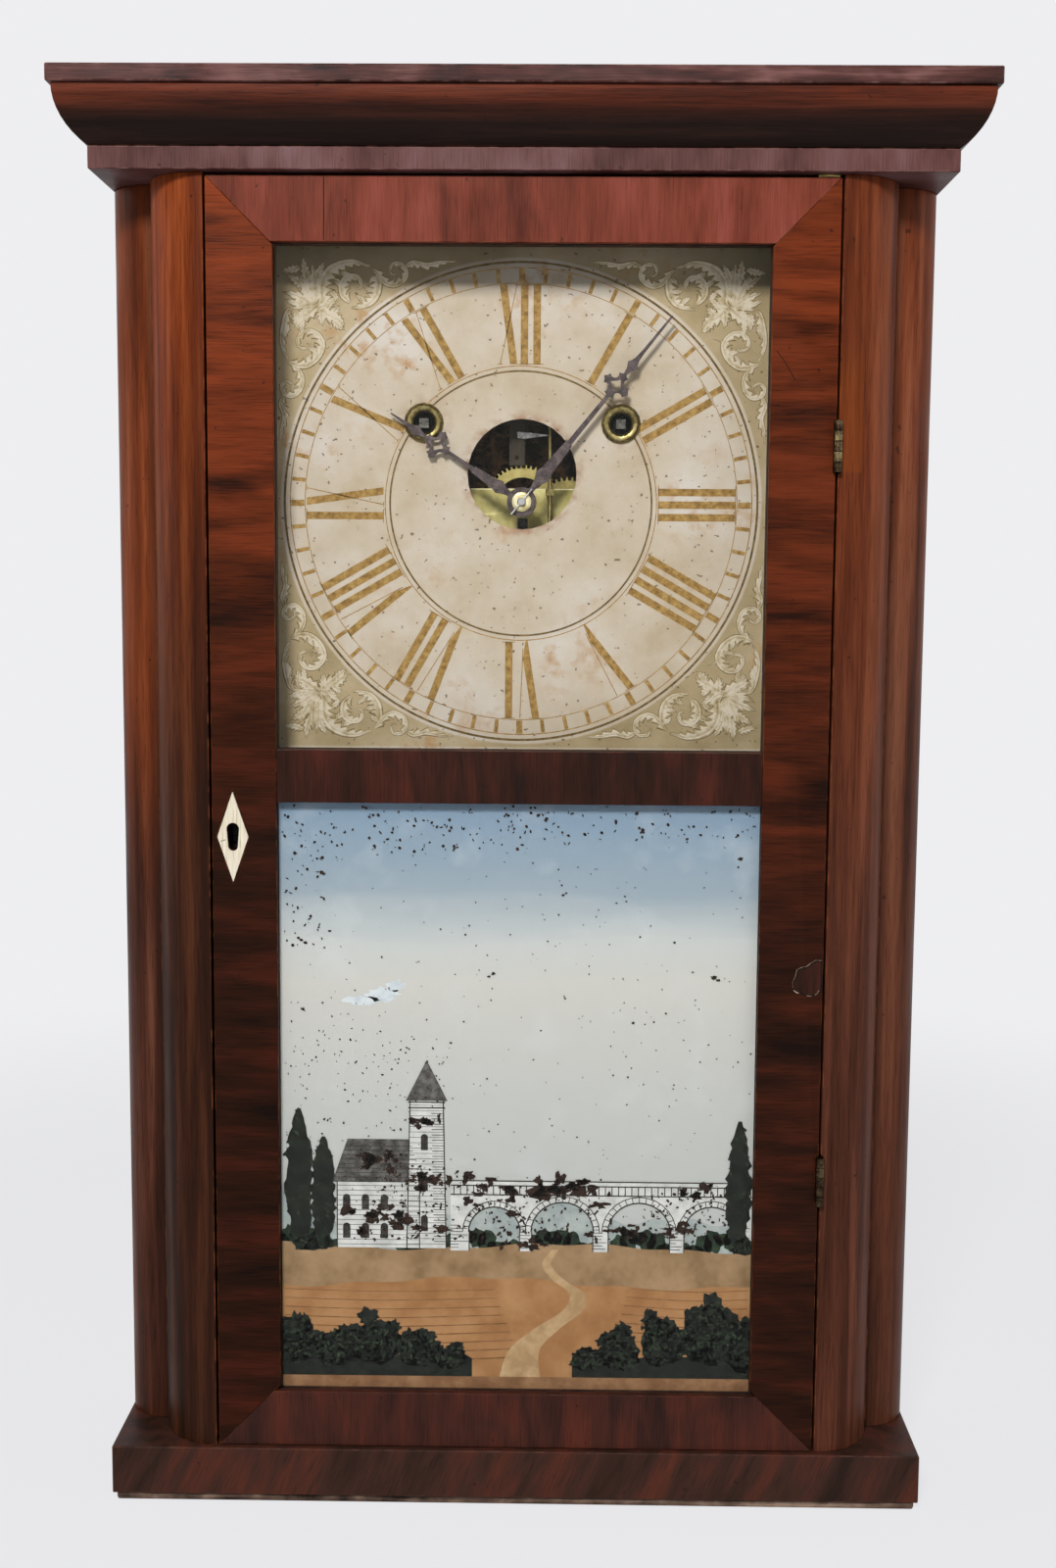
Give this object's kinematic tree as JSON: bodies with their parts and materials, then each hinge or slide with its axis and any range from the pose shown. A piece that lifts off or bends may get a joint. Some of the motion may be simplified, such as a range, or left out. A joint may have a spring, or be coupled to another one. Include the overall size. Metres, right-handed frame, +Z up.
{
  "type": "shelf clock",
  "caption": "Tall veneered shelf clock with rounded columns, a cornice, a glazed door over a painted dial, and a spring movement with pendulum and gong.",
  "frame": {"origin": "middle of the clock's overall footprint, on the surface it stands on", "axes": "+Z up, +Y from the dial to the back, +X to the right as one faces the dial"},
  "size_m": [0.3978, 0.13, 0.635],
  "materials": {
    "mahogany_veneer": "semi-gloss figured mahogany veneer",
    "dark_wood": "dull dark stained wood",
    "pine": "bare aged pine",
    "dial_paint": "aged ivory paint with gilt numerals",
    "clear_glass": "clear old window glass",
    "painted_glass": "glass painted on its back",
    "bone": "polished bone",
    "brass": "aged brass",
    "steel": "plain steel",
    "blued_steel": "dark blued steel",
    "cast_iron": "plain iron"
  },
  "bodies": {
    "case": {"skid_board": "dark_wood", "base_board": "mahogany_veneer", "left_side_board": "mahogany_veneer", "right_side_board": "mahogany_veneer", "left_column": "mahogany_veneer", "right_column": "mahogany_veneer", "back_board": "pine", "frieze_board": "mahogany_veneer", "cornice_front": "mahogany_veneer", "cornice_left_return": "mahogany_veneer", "cornice_right_return": "mahogany_veneer", "top_board": "mahogany_veneer", "upper_case_hinge_leaf": "brass", "lower_case_hinge_leaf": "brass", "dial": "dial_paint", "left_dial_rail": "pine", "right_dial_rail": "pine", "time_grommet": "brass", "strike_grommet": "brass", "front_plate": "brass", "back_plate": "brass", "suspension_cock": "brass", "gong": "steel", "time_mainspring": "steel", "strike_mainspring": "steel"},
    "door": {"door_left_stile": "mahogany_veneer", "door_right_stile": "mahogany_veneer", "door_top_rail": "mahogany_veneer", "door_middle_rail": "mahogany_veneer", "door_bottom_rail": "mahogany_veneer", "upper_glass": "clear_glass", "upper_glazing_bead": "dark_wood", "tablet_glass": "painted_glass", "lower_glazing_bead": "dark_wood", "upper_door_hinge_leaf": "brass", "lower_door_hinge_leaf": "brass", "lock_case": "brass", "escutcheon": "bone"},
    "bolt": {"lock_bolt": "steel"},
    "minute": {"centre_arbor": "steel", "minute_hand": "blued_steel", "hand_washer": "brass", "hand_pin": "steel"},
    "hour": {"hour_wheel": "brass", "hour_hand": "blued_steel"},
    "minute_wheel": {"minute_wheel": "brass"},
    "centre_wheel": {"centre_wheel": "brass"},
    "second_wheel": {"second_wheel": "brass"},
    "time_great": {"time_great_wheel": "brass"},
    "time_winding": {"time_winding_arbor": "steel"},
    "third_wheel": {"third_wheel": "brass"},
    "escape_wheel": {"escape_wheel": "brass"},
    "strike_great": {"strike_great_wheel": "brass"},
    "strike_winding": {"strike_winding_arbor": "steel"},
    "count_wheel": {"count_wheel": "brass"},
    "fly": {"fly": "brass"},
    "pendulum": {"verge": "steel", "pendulum_rod": "steel", "pendulum_bob": "brass"},
    "hammer": {"hammer": "cast_iron"}
  },
  "joints": [
    {"name": "door_swing", "type": "hinge", "parent": "case", "child": "door", "pos_m": [0.1365, -0.0492, 0.31], "axis": [0, 0, 1], "range_deg": [0, 170]},
    {"name": "bolt_throw", "type": "slide", "parent": "door", "child": "bolt", "axis": [-1, 0, 0], "range_m": [0, 0.005]},
    {"name": "minute_turn", "type": "hinge", "parent": "case", "child": "minute", "pos_m": [0, -0.004, 0.4575], "axis": [0, 1, 0], "continuous": true},
    {"name": "hour_turn", "type": "hinge", "parent": "case", "child": "hour", "pos_m": [0, -0.004, 0.4575], "axis": [0, 1, 0], "continuous": true},
    {"name": "minute_wheel_turn", "type": "hinge", "parent": "case", "child": "minute_wheel", "pos_m": [0, -0.004, 0.4345], "axis": [0, 1, 0], "continuous": true},
    {"name": "centre_wheel_turn", "type": "hinge", "parent": "case", "child": "centre_wheel", "pos_m": [0, -0.004, 0.4575], "axis": [0, 1, 0], "continuous": true},
    {"name": "second_wheel_turn", "type": "hinge", "parent": "case", "child": "second_wheel", "pos_m": [0.02119, -0.004, 0.45329], "axis": [0, 1, 0], "continuous": true},
    {"name": "time_great_turn", "type": "hinge", "parent": "case", "child": "time_great", "pos_m": [0.0441, -0.004, 0.4926], "axis": [0, 1, 0], "continuous": true},
    {"name": "third_wheel_turn", "type": "hinge", "parent": "case", "child": "third_wheel", "pos_m": [-0.00257, -0.004, 0.47846], "axis": [0, 1, 0], "continuous": true},
    {"name": "escape_wheel_turn", "type": "hinge", "parent": "case", "child": "escape_wheel", "pos_m": [0, -0.004, 0.4971], "axis": [0, 1, 0], "continuous": true},
    {"name": "time_winding_turn", "type": "hinge", "parent": "time_great", "child": "time_winding", "pos_m": [0.0441, -0.004, 0.4926], "axis": [0, 1, 0], "range_deg": [0, 1800]},
    {"name": "strike_great_turn", "type": "hinge", "parent": "case", "child": "strike_great", "pos_m": [-0.0441, -0.004, 0.4926], "axis": [0, 1, 0], "continuous": true},
    {"name": "count_wheel_turn", "type": "hinge", "parent": "case", "child": "count_wheel", "pos_m": [-0.02119, -0.004, 0.45329], "axis": [0, 1, 0], "continuous": true},
    {"name": "fly_turn", "type": "hinge", "parent": "case", "child": "fly", "pos_m": [-0.03234, -0.004, 0.43737], "axis": [0, 1, 0], "continuous": true},
    {"name": "strike_winding_turn", "type": "hinge", "parent": "strike_great", "child": "strike_winding", "pos_m": [-0.0441, -0.004, 0.4926], "axis": [0, 1, 0], "range_deg": [0, 1800]},
    {"name": "pendulum_swing", "type": "hinge", "parent": "case", "child": "pendulum", "pos_m": [0.0125, -0.004, 0.522], "axis": [0, 1, 0], "range_deg": [-4, 4]},
    {"name": "hammer_swing", "type": "hinge", "parent": "case", "child": "hammer", "pos_m": [-0.046, -0.004, 0.4275], "axis": [0, 1, 0], "range_deg": [0, 12]}
  ],
  "couplings": [
    {"joint": "minute_wheel_turn", "follows": "minute_turn", "ratio": -0.25},
    {"joint": "hour_turn", "follows": "minute_turn", "ratio": 0.083333},
    {"joint": "centre_wheel_turn", "follows": "minute_turn", "ratio": 1},
    {"joint": "second_wheel_turn", "follows": "minute_turn", "ratio": -0.28571},
    {"joint": "time_great_turn", "follows": "minute_turn", "ratio": 0.047619},
    {"joint": "third_wheel_turn", "follows": "minute_turn", "ratio": -10},
    {"joint": "escape_wheel_turn", "follows": "minute_turn", "ratio": 100},
    {"joint": "count_wheel_turn", "follows": "strike_great_turn", "ratio": -6},
    {"joint": "fly_turn", "follows": "strike_great_turn", "ratio": 48}
  ]
}
